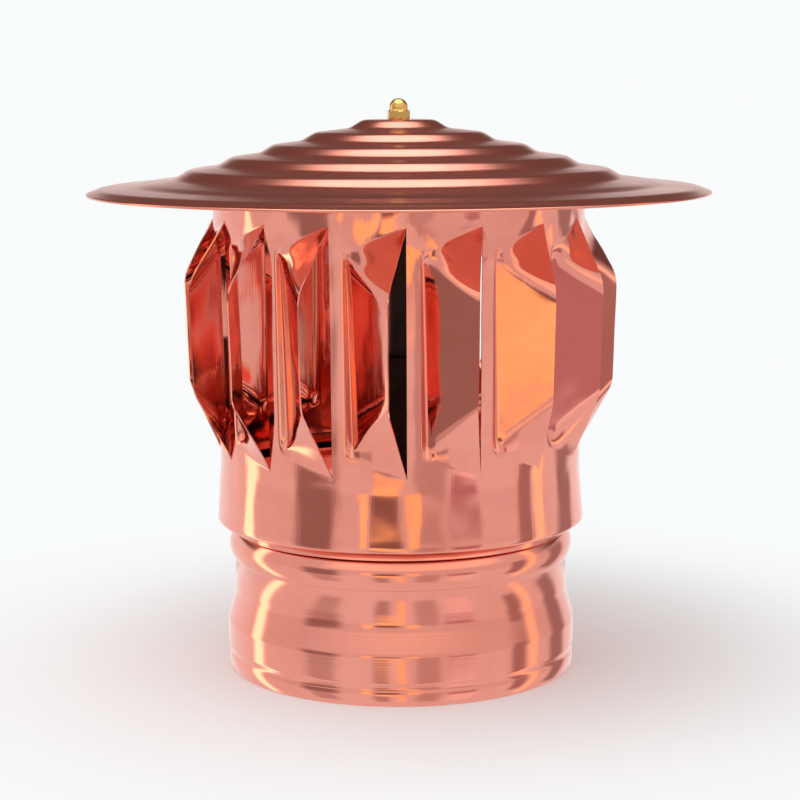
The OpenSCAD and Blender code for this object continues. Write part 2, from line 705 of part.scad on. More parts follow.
module louvre() {
    nc = n_across + 3;
    nr = rows + 2;
    pts = [for (k = [0, 1], j = [-2 : n_across], i = [-1 : rows]) sheet_pt(j, i, k)];
    function id(j, i, k) = (k * nc + j) * nr + i;
    faces = concat(
        [for (j = [0 : nc - 2], i = [0 : nr - 2], h = [0, 1])
            h == 0 ? [id(j, i, 0), id(j, i + 1, 0), id(j + 1, i + 1, 0)]
                   : [id(j, i, 0), id(j + 1, i + 1, 0), id(j + 1, i, 0)]],
        [for (j = [0 : nc - 2], i = [0 : nr - 2], h = [0, 1])
            h == 0 ? [id(j, i, 1), id(j + 1, i + 1, 1), id(j, i + 1, 1)]
                   : [id(j, i, 1), id(j + 1, i, 1), id(j + 1, i + 1, 1)]],
        [for (i = [0 : nr - 2], h = [0, 1])
            h == 0 ? [id(0, i, 0), id(0, i, 1), id(0, i + 1, 1)]
                   : [id(0, i, 0), id(0, i + 1, 1), id(0, i + 1, 0)]],
        [for (i = [0 : nr - 2], h = [0, 1])
            h == 0 ? [id(nc - 1, i, 0), id(nc - 1, i + 1, 1), id(nc - 1, i, 1)]
                   : [id(nc - 1, i, 0), id(nc - 1, i + 1, 0), id(nc - 1, i + 1, 1)]],
        [for (j = [0 : nc - 2], h = [0, 1])
            h == 0 ? [id(j, 0, 0), id(j + 1, 0, 1), id(j, 0, 1)]
                   : [id(j, 0, 0), id(j + 1, 0, 0), id(j + 1, 0, 1)]],
        [for (j = [0 : nc - 2], h = [0, 1])
            h == 0 ? [id(j, nr - 1, 0), id(j, nr - 1, 1), id(j + 1, nr - 1, 1)]
                   : [id(j, nr - 1, 0), id(j + 1, nr - 1, 1), id(j + 1, nr - 1, 0)]]);
    polyhedron(pts, faces, convexity = 4);
}

// one pressed sheet: skirt, posts, louvres and ring
module vane_drum() {
    color("#c8745c")
    difference() {
        union() {
            difference() {
                drum_wall();
                for (k = [0 : n_louvres - 1]) rotate([0, 0, drum_turn + k * pitch_a]) louvre_window();
            }
            for (k = [0 : n_louvres - 1]) rotate([0, 0, drum_turn + k * pitch_a]) louvre();
        }
        for (i = [0 : n_plate_rivets - 1]) rotate([0, 0, plate_rivet_a(i)])
            translate([0, 0, plate_rivet_z]) radial_hole(plate_ro - 1, ring_r + 2);
    }
}

// one spun sheet in rising steps, with a wired lip
module cap() {
    outer = rounded([for (q = cap_outline()) [q[0], crown_z - q[1]]], step_round);
    under = sheet_t * 1.1;
    edge = outer[len(outer) - 1];
    inner = [for (q = outer) if (q[0] < cap_r - 2.4 * wire_r) q - [0, under]];
    wire = [for (k = [1 : 10]) edge + wire_r * [sin(k * 24), cos(k * 24) - 1]];
    color("#c8745c")
    difference() {
        rotate_extrude($fn = 128) polygon(concat(outer, wire, reversed(inner)));
        translate([0, 0, crown_z - 5]) cylinder(r = brg_r + 0.2, h = 10, $fn = 48);
    }
}

base_collar();
bridge();
bridge_rivets();
bearing_tube();
tube_bolts();
tube_nuts();
bearing_outers();
bearing_shields();
tube_clips();
spindle();
bearing_inners();
inner_spacer();
thrust_washer();
spindle_clip();
hub_plate();
vane_drum();
plate_rivets();
hub_washer();
hub_nut();
cap_sleeve();
cap();
acorn_nut();
balls_lower();
cage_lower();
balls_upper();
cage_upper();
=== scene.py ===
# %% [markdown]
# Rotary chimney cowl in bright copper, drawn round a imported CAD model.
#
# The cowl stands on a flue. A beaded socket slips over the pipe, and above it a
# drum of sixteen louvres and a stepped rain cap turn on a spindle, driven by the
# wind. The CAD model holds every solid of it, the hidden bridge, bearings and
# spindle included. This lesson loads that model as a frame that never moves,
# gives each piece the finish of the real metal, and draws the thin, bright
# sheets again with smooth surfaces, because polished copper shows every facet.

# %% Load the frame
import bpy, bmesh, json, math
import numpy as np
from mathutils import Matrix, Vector


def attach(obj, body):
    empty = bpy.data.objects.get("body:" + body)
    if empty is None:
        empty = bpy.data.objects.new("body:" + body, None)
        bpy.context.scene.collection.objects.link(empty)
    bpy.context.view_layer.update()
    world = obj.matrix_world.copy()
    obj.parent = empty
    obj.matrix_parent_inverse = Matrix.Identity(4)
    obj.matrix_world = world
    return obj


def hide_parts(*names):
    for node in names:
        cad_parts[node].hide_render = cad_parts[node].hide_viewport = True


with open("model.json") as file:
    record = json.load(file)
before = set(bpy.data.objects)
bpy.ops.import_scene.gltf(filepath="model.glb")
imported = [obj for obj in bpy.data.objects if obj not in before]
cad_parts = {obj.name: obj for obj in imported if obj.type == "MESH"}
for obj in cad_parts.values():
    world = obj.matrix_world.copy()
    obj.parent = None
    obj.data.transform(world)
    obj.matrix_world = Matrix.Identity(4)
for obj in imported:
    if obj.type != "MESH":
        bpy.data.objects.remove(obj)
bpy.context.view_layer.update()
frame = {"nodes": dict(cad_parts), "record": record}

# %% [markdown]
# The camera stands a little above the cap's brim and looks down by about nine
# degrees, as in the photograph. A long lens keeps the rings nearly parallel.
# The cowl leans very slightly to the left, so the camera is rolled a little.

# %% Camera
def make_camera():
    data = bpy.data.cameras.new("camera")
    data.sensor_width = 36.0
    data.lens = 93.6
    data.clip_start, data.clip_end = 0.05, 30.0
    data.dof.use_dof = False
    cam = bpy.data.objects.new("camera", data)
    bpy.context.scene.collection.objects.link(cam)
    cam.location = (0.0009, -1.19945, 0.3412)
    cam.rotation_euler = (math.radians(90 - 8.86), math.radians(0.25), 0.0)
    bpy.context.scene.camera = cam
    return cam

camera = make_camera()
print("camera at", [round(v, 3) for v in camera.location], "lens", camera.data.lens)

# %% [markdown]
# Node trees are easier to read in code when one short helper makes a node, sets
# its plain inputs and joins its linked ones. A group is a tree with named
# sockets. Groups here put out only masks, values, colours and normals, so that
# each shader stays in its own material and can be exported.

# %% Helpers for node trees
def add(tree, kind, name=None, **given):
    """One node. A given value is set on an input, a given socket is linked to it."""
    node = tree.nodes.new(kind)
    if name:
        node.name = node.label = name
    for key, value in given.items():
        key = key.replace("__", " ")
        if hasattr(node, key):
            setattr(node, key, value)
            continue
        socket = node.inputs[int(key[2:])] if key[2:].isdigit() else node.inputs[key]
        if isinstance(value, bpy.types.NodeSocket):
            tree.links.new(value, socket)
        else:
            socket.default_value = value
    return node

def math_node(tree, operation, a, b=0.0, c=0.0):
    return add(tree, "ShaderNodeMath", operation=operation, in0=a, in1=b, in2=c).outputs[0]

def mix_colour(tree, factor, a, b, blend="MIX"):
    node = tree.nodes.new("ShaderNodeMix")
    node.data_type, node.blend_type = "RGBA", blend
    for socket, value in zip((node.inputs[0], node.inputs[6], node.inputs[7]), (factor, a, b)):
        if isinstance(value, bpy.types.NodeSocket):
            tree.links.new(value, socket)
        else:
            socket.default_value = value
    return node.outputs[2]

def ramp(tree, value, low, high, smooth=True):
    """Maps low..high to 0..1 and holds outside it."""
    return add(tree, "ShaderNodeMapRange", interpolation_type="SMOOTHSTEP" if smooth else "LINEAR",
               in0=value, in1=low, in2=high, in3=0.0, in4=1.0).outputs[0]

def new_group(name, inputs, outputs):
    """A shader group. inputs: (name, kind, default); outputs: (name, kind)."""
    tree = bpy.data.node_groups.new(name, "ShaderNodeTree")
    kinds = {"value": "NodeSocketFloat", "colour": "NodeSocketColor", "vector": "NodeSocketVector"}
    for label, kind, default in inputs:
        socket = tree.interface.new_socket(label, in_out="INPUT", socket_type=kinds[kind])
        socket.default_value = default
    for label, kind in outputs:
        tree.interface.new_socket(label, in_out="OUTPUT", socket_type=kinds[kind])
    return tree, tree.nodes.new("NodeGroupInput"), tree.nodes.new("NodeGroupOutput")

def place(tree, group, **given):
    node = tree.nodes.new("ShaderNodeGroup")
    node.node_tree = group
    for key, value in given.items():
        key = key.replace("__", " ")
        if isinstance(value, bpy.types.NodeSocket):
            tree.links.new(value, node.inputs[key])
        else:
            node.inputs[key].default_value = value
    return node

print("helpers ready")

# %% [markdown]
# Polished metal has no colour of its own to show: it shows the room. The studio
# here is a world that a reflected ray sees as a real one would be: a pale floor
# below, a darker room round it, a wide soft box overhead, and a few soft cards
# and strip lamps. The camera sees only the pale backdrop, and matt surfaces are
# lit by plain white. Each card is a soft-edged patch of the sky, placed by the
# compass angle and height at which it stands, so it stays put when the camera
# moves.

# %% Studio world
def make_card_group():
    tree, gin, gout = new_group("soft card",
        [("Azimuth", "value", 0), ("Elevation", "value", 0), ("Centre", "value", 0),
         ("Half width", "value", 10), ("Low", "value", -90), ("High", "value", 90),
         ("Soft side", "value", 4), ("Soft end", "value", 4)], [("Mask", "value")])
    o = gin.outputs
    turn = math_node(tree, "SUBTRACT", o["Azimuth"], o["Centre"])
    turn = math_node(tree, "ABSOLUTE", math_node(tree, "WRAP", turn, 180.0, -180.0))
    side = math_node(tree, "DIVIDE", math_node(tree, "SUBTRACT", o["Half width"], turn), o["Soft side"])
    low = math_node(tree, "DIVIDE", math_node(tree, "SUBTRACT", o["Elevation"], o["Low"]), o["Soft end"])
    high = math_node(tree, "DIVIDE", math_node(tree, "SUBTRACT", o["High"], o["Elevation"]), o["Soft end"])
    mask = None
    for edge in (side, low, high):
        edge = ramp(tree, edge, -0.5, 0.5)
        mask = edge if mask is None else math_node(tree, "MULTIPLY", mask, edge)
    tree.links.new(mask, gout.inputs["Mask"])
    return tree

ROOM_FRONT = (0.84, 0.78, 0.76, 1)
ROOM_BEHIND = (0.17, 0.10, 0.085, 1)
FLOOR_SEEN = (0.92, 0.88, 0.86, 1)
SKY_BOX = (2.7, 2.6, 2.55, 1)
# name: azimuth, half width, low, high, soft side, soft end, colour
CARDS = {
    # what the socket and its bead see
    "pale sweep behind": (180, 62, -24, 9, 26, 8, (1.0, 0.97, 0.96, 1)),
    "left shade": (-54, 9, -40, -14, 8, 4, (0.64, 0.56, 0.54, 1)),
    "front shade": (-13, 5, -40, -14, 5, 4, (0.56, 0.46, 0.43, 1)),
    "right shade": (18, 8, -40, -3, 6, 4, (0.66, 0.56, 0.54, 1)),
    "pale card": (42, 9, -40, -14, 6, 4, (1.08, 0.98, 0.96, 1)),
    "right curtain": (126, 10, -30, 8, 8, 6, (0.42, 0.32, 0.32, 1)),
    # what the flat louvre panels see
    "left curtain": (-54, 13, -14, 9, 10, 3, (0.36, 0.27, 0.26, 1)),
    "orange card": (-8, 8, -14, -5, 5, 2.5, (1.45, 1.1, 0.52, 1)),
    "mauve card": (40, 10, -14, -5, 5, 3, (0.56, 0.34, 0.38, 1)),
    "brown card": (84, 6, -30, 8, 4, 4, (0.46, 0.33, 0.32, 1)),
    # what the skirt sees
    "dark gap": (-9, 8, -6, 4, 5, 3, (0.30, 0.19, 0.17, 1)),
    "first glow": (-22, 3, -6.5, 6, 3, 3, (1.6, 1.15, 0.55, 1)),
    "second glow": (8, 4, -6.5, 6, 4, 3, (1.5, 1.1, 0.52, 1)),
    # strip lamps and the light in front
    "warm strip": (0.5, 2.2, -40, -13, 2.5, 4, (1.4, 1.0, 0.5, 1)),
    "left strip lamp": (-108, 5, -40, 40, 4, 8, (3.0, 2.4, 1.7, 1)),
    "right strip lamp": (97, 3.5, -40, 40, 3, 8, (1.7, 1.2, 0.75, 1)),
    "front window": (10, 60, 17, 40, 20, 8, (1.3, 1.12, 0.9, 1)),
}

def make_world():
    world = bpy.data.worlds.new("studio")
    bpy.context.scene.world = world
    world.use_nodes = True
    tree = world.node_tree
    tree.nodes.clear()
    ray = tree.nodes.new("ShaderNodeTexCoord").outputs["Generated"]
    xyz = add(tree, "ShaderNodeSeparateXYZ", in0=ray).outputs
    azimuth = math_node(tree, "ARCTAN2", xyz[0], math_node(tree, "MULTIPLY", xyz[1], -1.0))
    azimuth = math_node(tree, "DEGREES", azimuth)
    elevation = math_node(tree, "DEGREES", math_node(tree, "ARCSINE", xyz[2]))
    seen = mix_colour(tree, ramp(tree, elevation, -11.0, -2.0), FLOOR_SEEN, ROOM_FRONT)
    away = ramp(tree, math_node(tree, "ABSOLUTE", azimuth), 95.0, 128.0)
    away = math_node(tree, "MULTIPLY", away, ramp(tree, elevation, 5.0, 13.0))
    seen = mix_colour(tree, away, seen, ROOM_BEHIND)
    card = make_card_group()
    for name, (centre, half, low, high, side, end, colour) in CARDS.items():
        mask = place(tree, card, Azimuth=azimuth, Elevation=elevation, Centre=centre,
                     Half__width=half, Low=low, High=high, Soft__side=side, Soft__end=end)
        mask.name = mask.label = name
        seen = mix_colour(tree, mask.outputs[0], seen, colour)
    seen = mix_colour(tree, ramp(tree, elevation, 46.0, 62.0), seen, SKY_BOX)
    path = tree.nodes.new("ShaderNodeLightPath").outputs
    colour = mix_colour(tree, path["Is Diffuse Ray"], seen, (0.80, 0.80, 0.80, 1))
    colour = mix_colour(tree, path["Is Camera Ray"], colour, (0.947, 0.965, 0.973, 1))
    background = add(tree, "ShaderNodeBackground", Color=colour, Strength=1.0)
    out = tree.nodes.new("ShaderNodeOutputWorld")
    tree.links.new(background.outputs[0], out.inputs[0])
    return world

make_world()
print("studio cards:", len(CARDS))

# %% [markdown]
# The floor is a plain pale table. Near the cowl it is a matt surface that takes
# the soft shadow, and further out it fades into the colour of the backdrop, so
# that no edge shows. Reflected rays pass it and meet the studio instead, which
# has the pale floor in it. One broad lamp above gives the shadow a side.

# %% Floor and lamp
def make_floor():
    mesh = bpy.data.meshes.new("floor")
    ring = [(1.6 * math.cos(t), 1.6 * math.sin(t), 0.0) for t in np.linspace(0, 2 * math.pi, 96, endpoint=False)]
    mesh.from_pydata(ring, [], [list(range(96))])
    floor = bpy.data.objects.new("floor", mesh)
    bpy.context.scene.collection.objects.link(floor)
    mat = bpy.data.materials.new("pale table")
    mat.use_nodes = True
    tree = mat.node_tree
    tree.nodes.clear()
    place_on = tree.nodes.new("ShaderNodeTexCoord").outputs["Object"]
    distance = add(tree, "ShaderNodeVectorMath", operation="LENGTH", in0=place_on).outputs["Value"]
    matt = add(tree, "ShaderNodeBsdfDiffuse", Color=(0.93, 0.945, 0.955, 1))
    glow = add(tree, "ShaderNodeEmission", Color=(0.947, 0.965, 0.973, 1), Strength=1.0)
    joined = add(tree, "ShaderNodeMixShader", in0=ramp(tree, distance, 0.13, 0.44),
                 in1=matt.outputs[0], in2=glow.outputs[0])
    out = tree.nodes.new("ShaderNodeOutputMaterial")
    tree.links.new(joined.outputs[0], out.inputs[0])
    mesh.materials.append(mat)
    floor.visible_glossy = False
    return floor

def make_lamp():
    data = bpy.data.lights.new("soft box", "AREA")
    data.shape, data.size, data.size_y = "RECTANGLE", 1.4, 1.0
    data.energy = 9.0
    lamp = bpy.data.objects.new("soft box", data)
    bpy.context.scene.collection.objects.link(lamp)
    lamp.location = (-0.5, -0.5, 1.9)
    lamp.rotation_euler = (Vector((0, 0, 0.1)) - lamp.location).to_track_quat("-Z", "Y").to_euler()
    lamp.visible_camera = False
    lamp.visible_glossy = False
    return lamp

floor, lamp = make_floor(), make_lamp()
scene = bpy.context.scene
scene.view_settings.view_transform = "Standard"
print("floor radius 1.6 m, lamp", lamp.data.energy, "W")

# %% [markdown]
# Finishes. Every metal here starts from a faint uneven tarnish, and six of them
# also from the fine marks of how they were made, either turned rings or long
# rolling lines. Both are groups, placed in each material with its own values.

# %% Shared effects
def make_tarnish_group():
    tree, gin, gout = new_group("uneven tarnish",
        [("Position", "vector", (0, 0, 0)), ("Size", "value", 12.0), ("Fresh", "colour", (1, 1, 1, 1)),
         ("Aged", "colour", (0.5, 0.5, 0.5, 1)), ("Amount", "value", 0.3),
         ("Smooth", "value", 0.1), ("Dull", "value", 0.2)],
        [("Colour", "colour"), ("Roughness", "value"), ("Mask", "value")])
    o = gin.outputs
    broad = add(tree, "ShaderNodeTexNoise", Vector=o["Position"], Scale=o["Size"], Detail=3.0, Roughness=0.55)
    fine = add(tree, "ShaderNodeTexNoise", Vector=o["Position"],
               Scale=math_node(tree, "MULTIPLY", o["Size"], 9.0), Detail=4.0, Roughness=0.6)
    both = math_node(tree, "ADD", math_node(tree, "MULTIPLY", broad.outputs["Fac"], 0.75),
                     math_node(tree, "MULTIPLY", fine.outputs["Fac"], 0.25))
    mask = math_node(tree, "MULTIPLY", ramp(tree, both, 0.38, 0.66), o["Amount"])
    tree.links.new(mask, gout.inputs["Mask"])
    tree.links.new(mix_colour(tree, mask, o["Fresh"], o["Aged"]), gout.inputs["Colour"])
    rough = math_node(tree, "ADD", o["Smooth"], math_node(tree, "MULTIPLY", mask, o["Dull"]))
    tree.links.new(rough, gout.inputs["Roughness"])
    return tree

def make_turned_group():
    """Rings left by a spinning tool: noise that changes with radius and height only."""
    tree, gin, gout = new_group("turned rings",
        [("Position", "vector", (0, 0, 0)), ("Rings", "value", 900.0)], [("Height", "value")])
    xyz = add(tree, "ShaderNodeSeparateXYZ", in0=gin.outputs["Position"]).outputs
    radius = math_node(tree, "SQRT", math_node(tree, "ADD", math_node(tree, "MULTIPLY", xyz[0], xyz[0]),
                                               math_node(tree, "MULTIPLY", xyz[1], xyz[1])))
    flat = add(tree, "ShaderNodeCombineXYZ", in0=radius, in1=xyz[2]).outputs[0]
    lines = add(tree, "ShaderNodeTexNoise", Vector=flat, Scale=gin.outputs["Rings"], Detail=2.0, Roughness=0.7)
    tree.links.new(lines.outputs["Fac"], gout.inputs["Height"])
    return tree

def make_rolled_group():
    """Long fine lines of rolled sheet, running up the wall: noise stretched along Z."""
    tree, gin, gout = new_group("rolling lines",
        [("Position", "vector", (0, 0, 0)), ("Lines", "value", 700.0)], [("Height", "value")])
    xyz = add(tree, "ShaderNodeSeparateXYZ", in0=gin.outputs["Position"]).outputs
    flat = add(tree, "ShaderNodeCombineXYZ", in0=xyz[0], in1=xyz[1],
               in2=math_node(tree, "MULTIPLY", xyz[2], 0.03)).outputs[0]
    lines = add(tree, "ShaderNodeTexNoise", Vector=flat, Scale=gin.outputs["Lines"], Detail=2.0, Roughness=0.6)
    tree.links.new(lines.outputs["Fac"], gout.inputs["Height"])
    return tree

TARNISH, TURNED, ROLLED = make_tarnish_group(), make_turned_group(), make_rolled_group()
print("groups:", [g.name for g in bpy.data.node_groups])

# %% Metals
def metal(name, fresh, aged, amount=0.3, size=12.0, smooth=0.1, dull=0.15, marks=None,
          density=700.0, depth=0.0, coat=0.0):
    """A metal with tarnish and, if asked, turned or rolled marks in its bump."""
    mat = bpy.data.materials.new(name)
    mat.use_nodes = True
    tree = mat.node_tree
    tree.nodes.clear()
    where = tree.nodes.new("ShaderNodeTexCoord").outputs["Object"]
    wear = place(tree, TARNISH, Position=where, Size=size, Fresh=(*fresh, 1), Aged=(*aged, 1),
                 Amount=amount, Smooth=smooth, Dull=dull)
    shader = add(tree, "ShaderNodeBsdfPrincipled", Metallic=1.0)
    tree.links.new(wear.outputs["Colour"], shader.inputs["Base Color"])
    tree.links.new(wear.outputs["Roughness"], shader.inputs["Roughness"])
    if marks:
        lines = place(tree, marks, Position=where, **({"Rings": density} if marks is TURNED else {"Lines": density}))
        bump = add(tree, "ShaderNodeBump", Height=lines.outputs[0], Strength=1.0, Distance=depth)
        tree.links.new(bump.outputs[0], shader.inputs["Normal"])
    out = tree.nodes.new("ShaderNodeOutputMaterial")
    tree.links.new(shader.outputs[0], out.inputs[0])
    return mat

COPPER, COPPER_OLD = (0.88, 0.35, 0.28), (0.72, 0.22, 0.15)
METALS = {
    "copper_drum": metal("bright copper sheet", COPPER, COPPER_OLD, 0.35, 14, 0.07, 0.10, ROLLED, 500, 0.00002),
    "copper_cap": metal("satin spun copper", (0.80, 0.30, 0.225), (0.62, 0.19, 0.13), 0.45, 10, 0.19, 0.10, TURNED, 900, 0.00003),
    "copper_socket": metal("bright turned copper", COPPER, COPPER_OLD, 0.35, 10, 0.09, 0.12, TURNED, 1300, 0.00002),
    "copper_plate": metal("mill copper", (0.72, 0.27, 0.19), (0.40, 0.13, 0.09), 0.6, 20, 0.25, 0.2, ROLLED, 500, 0.00004),
    "brass_nut": metal("polished brass", (0.83, 0.56, 0.19), (0.42, 0.24, 0.08), 0.5, 120, 0.14, 0.2),
    "steel_bridge": metal("brushed steel plate", (0.32, 0.30, 0.29), (0.16, 0.14, 0.13), 0.6, 25, 0.35, 0.2, ROLLED, 900, 0.00003),
    "steel_tube": metal("blackened steel", (0.045, 0.04, 0.038), (0.02, 0.017, 0.015), 0.6, 30, 0.42, 0.15, TURNED, 900, 0.00003),
    "steel_bright": metal("ground bearing steel", (0.62, 0.63, 0.64), (0.45, 0.45, 0.45), 0.3, 60, 0.12, 0.1),
    "steel_zinc": metal("zinc plated steel", (0.50, 0.51, 0.52), (0.30, 0.30, 0.29), 0.5, 80, 0.3, 0.2),
    "spring_steel": metal("phosphated spring steel", (0.10, 0.10, 0.11), (0.04, 0.04, 0.045), 0.5, 90, 0.45, 0.2),
    "cage_brass": metal("pressed cage brass", (0.66, 0.46, 0.17), (0.35, 0.22, 0.08), 0.4, 150, 0.25, 0.2),
}
SLOT_OF = {s["node"]: s["material_slot"] for s in frame["record"]["subparts"]}
for node, obj in frame["nodes"].items():
    obj.data.materials.clear()
    obj.data.materials.append(METALS[SLOT_OF[node]])
print("finishes given to", len(SLOT_OF), "nodes")

# %% [markdown]
# The sizes below are the drum's own, in millimetres, as the CAD source has them.
# Angles run from the front, -Y, towards +X. The drum is one pressed sheet: a
# skirt with a curled edge, a straight wall with sixteen louvres, and a plain
# ring under the cap.

# %% Sizes of the thin copper sheets
MM = 0.001
SHEET = 0.8
WAIST_R, BEAD_Z, BEAD_H, BEAD_OUT = 97.1, 63.5, 17.5, 3.1
SKIRT_Z, SKIRT_R, CURL_R = 86.2, 106.9, 1.9
NECK_Z, NECK_R, RING_Z, RING_R, DRUM_TOP = 119.2, 104.6, 263.7, 106.7, 289.6
LOUVRES, TURN = 16, 4.2
LOW_Z, HIGH_Z = 126.7, 262.2
BULGE, VALLEY = 18.7, 3.2
FREE_DROP, FREE_RISE, VALLEY_DROP, VALLEY_RISE = 35.0, 38.0, 13.5, 12.0
CREASE = 1.9

def degrees_of(width):
    """The angle that a width takes up on the drum's wall."""
    return math.degrees(width / ((NECK_R + RING_R) / 2))

PITCH = 360 / LOUVRES
POST_A = degrees_of(3.9)
NEXT_A = PITCH - POST_A
FREE_A = NEXT_A - degrees_of(9.2)
VALLEY_LOW_A = POST_A + degrees_of(4.3) / 2
VALLEY_HIGH_A = POST_A + degrees_of(1.5) / 2

def mix(a, b, s):
    return a + (b - a) * s

def wall_r(z):
    if z < NECK_Z:
        return NECK_R + (SKIRT_R - NECK_R) * (NECK_Z - z) / 33
    return mix(NECK_R, RING_R, min(1, (z - NECK_Z) / (RING_Z - NECK_Z)))

def at(r, a, z):
    t = math.radians(a)
    return np.array([r * math.sin(t), -r * math.cos(t), z])

print("one louvre takes", PITCH, "degrees; its free edge stands out", BULGE, "mm")

# %% [markdown]
# A press tool pushes each louvre out of the flat wall: the free edge goes out,
# and the fold beside the post goes in. So the pattern mesh below is the wall
# before pressing, and each of its points also knows which way, and how far, the
# two strokes of the tool push it. The strokes themselves are made later, in
# Geometry Nodes, where their depths stay as named inputs.

# %% Pattern of one louvre before pressing
def bend_rows(count):
    """Weights of a soft bend: rows of (back, corner, ahead) on a curve."""
    return [((1 - s) ** 2, 2 * s * (1 - s), s * s) for s in (k / (count - 1) for k in range(count))]

def line_weights(corners, reach, straight, bends=6):
    """Rows of weights over the corners of a folded line, softened at each fold.
    reach gives the length, in mm, of the soft bend at each inner corner."""
    rows, n = [], len(corners)
    unit = np.eye(n)
    ahead = unit[0]
    for i in range(1, n - 1):
        before = np.linalg.norm(corners[i] - corners[i - 1])
        after = np.linalg.norm(corners[i + 1] - corners[i])
        back = mix(unit[i], unit[i - 1], min(0.42, reach[i - 1] / before))
        front = mix(unit[i], unit[i + 1], min(0.42, reach[i - 1] / after))
        rows += [mix(ahead, back, k / straight[i - 1]) for k in range(straight[i - 1])]
        rows += [back * a + unit[i] * b + front * c for a, b, c in bend_rows(bends)][:-1]
        ahead = front
    rows += [mix(ahead, unit[-1], k / straight[-1]) for k in range(straight[-1] + 1)]
    return np.array(rows)

STRAIGHT = [1, 7, 14, 9, 1]      # rows on each straight part of a column

def low_angle(s):
    return mix(VALLEY_LOW_A + 0.6, NEXT_A, s)

def high_angle(s):
    return mix(VALLEY_HIGH_A, NEXT_A, s)

def low_seam(a):
    return mix(LOW_Z + VALLEY_RISE, LOW_Z, (a - POST_A) / (NEXT_A - POST_A))

def high_seam(a):
    return mix(HIGH_Z - VALLEY_DROP, HIGH_Z, (a - POST_A) / (NEXT_A - POST_A))

def louvre_corners(s, bulge, valley):
    """Corners of one column of the louvre; s runs from the valley to the free edge."""
    low, high = low_angle(s), high_angle(s)
    zl, zh = low_seam(low), high_seam(high)
    fold_low = mix(at(wall_r(LOW_Z) - valley, VALLEY_LOW_A + 0.6, low_seam(VALLEY_LOW_A) + 2.2 * VALLEY),
                   at(wall_r(LOW_Z) + bulge, FREE_A, LOW_Z + FREE_RISE), s)
    fold_high = mix(at(wall_r(HIGH_Z) - valley, VALLEY_HIGH_A, high_seam(VALLEY_HIGH_A) - 2.2 * VALLEY),
                    at(wall_r(HIGH_Z) + bulge, FREE_A, HIGH_Z - FREE_DROP), s)
    return [at(wall_r(zl - 3), low, zl - 3), at(wall_r(zl), low, zl), fold_low, fold_high,
            at(wall_r(zh), high, zh), at(wall_r(zh + 3), high, zh + 3)]

def louvre_column(s, bulge, valley):
    fade = 1 - s ** 6
    reach = [0.05 + 1.6 * fade, CREASE + 2.5 * s, CREASE + 5.0 * s, 0.05 + 2.4 * fade]
    weights = line_weights(louvre_corners(s, BULGE, VALLEY), reach, STRAIGHT)
    return weights @ np.array(louvre_corners(s, bulge, valley))

def post_column(a, zs):
    return np.array([at(wall_r(z), a, z) for z in zs])

def press_pattern(bulge, valley):
    """Columns of points from the middle of one post to the middle of the next."""
    steps = [0, 0.05, 0.11, 0.18, 0.26, 0.35, 0.44, 0.53, 0.62, 0.71, 0.79, 0.86, 0.92, 0.965, 1]
    panel = [louvre_column(s, bulge, valley) for s in steps]
    flat0, flat1 = louvre_column(0, 0, 0)[:, 2], louvre_column(1, 0, 0)[:, 2]
    share = (flat0 - flat0[0]) / (flat0[-1] - flat0[0])
    edge = post_column(POST_A, mix(low_seam(POST_A) - 3, high_seam(POST_A) + 3, share))
    last = post_column(NEXT_A, flat1)
    middle = (edge[:, 2] + last[:, 2]) / 2
    start = post_column(0, middle)
    flank, valley_line, beyond = edge, panel[0], panel[1]
    near_post = mix(edge, start, 0.30)
    down = mix(edge, valley_line, 0.30)
    up = mix(valley_line, edge, 0.28)
    out = mix(valley_line, beyond, 0.8)
    round_post = [near_post * a + flank * b + down * c for a, b, c in bend_rows(4)]
    round_valley = [up * a + valley_line * b + out * c for a, b, c in bend_rows(5)]
    columns = [start] + round_post + round_valley + panel[2:]
    return columns, [last, mix(last, post_column(PITCH, middle), 0.5), post_column(PITCH, middle)]

def wall_profile():
    """Radius and height from the curled edge up to just above the neck."""
    curl = [(SKIRT_R - CURL_R + CURL_R * math.cos(t), SKIRT_Z + CURL_R + CURL_R * math.sin(t))
            for t in np.radians(np.linspace(-140, 0, 9))]
    zs = [90.5, 94, 98, 102, 106, 110, 113.5, 116, 118, 119.2, 120.4, 122.0]
    return curl, [(NECK_R + 0.05 * max(0, 1 - abs(z - NECK_Z) / 3) + (wall_r(z) - NECK_R), z) for z in zs]

def add_skirt_and_ring(columns):
    """Carries each column down to the curled edge and up to the drum's top."""
    curl, lower = wall_profile()
    full = []
    for column in columns:
        low, high = column[0], column[-1]
        a_low = math.degrees(math.atan2(low[0], -low[1]))
        a_high = math.degrees(math.atan2(high[0], -high[1]))
        under = [at(r, a_low, z) for r, z in curl + lower]
        under += [at(wall_r(z), a_low, z) for z in np.linspace(lower[-1][1], low[2], 5)[1:-1]]
        over = [at(wall_r(z), a_high, z) for z in np.linspace(high[2], 267.0, 5)[1:]]
        over += [at(RING_R, a_high, z) for z in (271, 275, 279, 283, 286.5, DRUM_TOP)]
        full.append(np.array(under + list(column) + over))
    return full, len(curl + lower) + 3

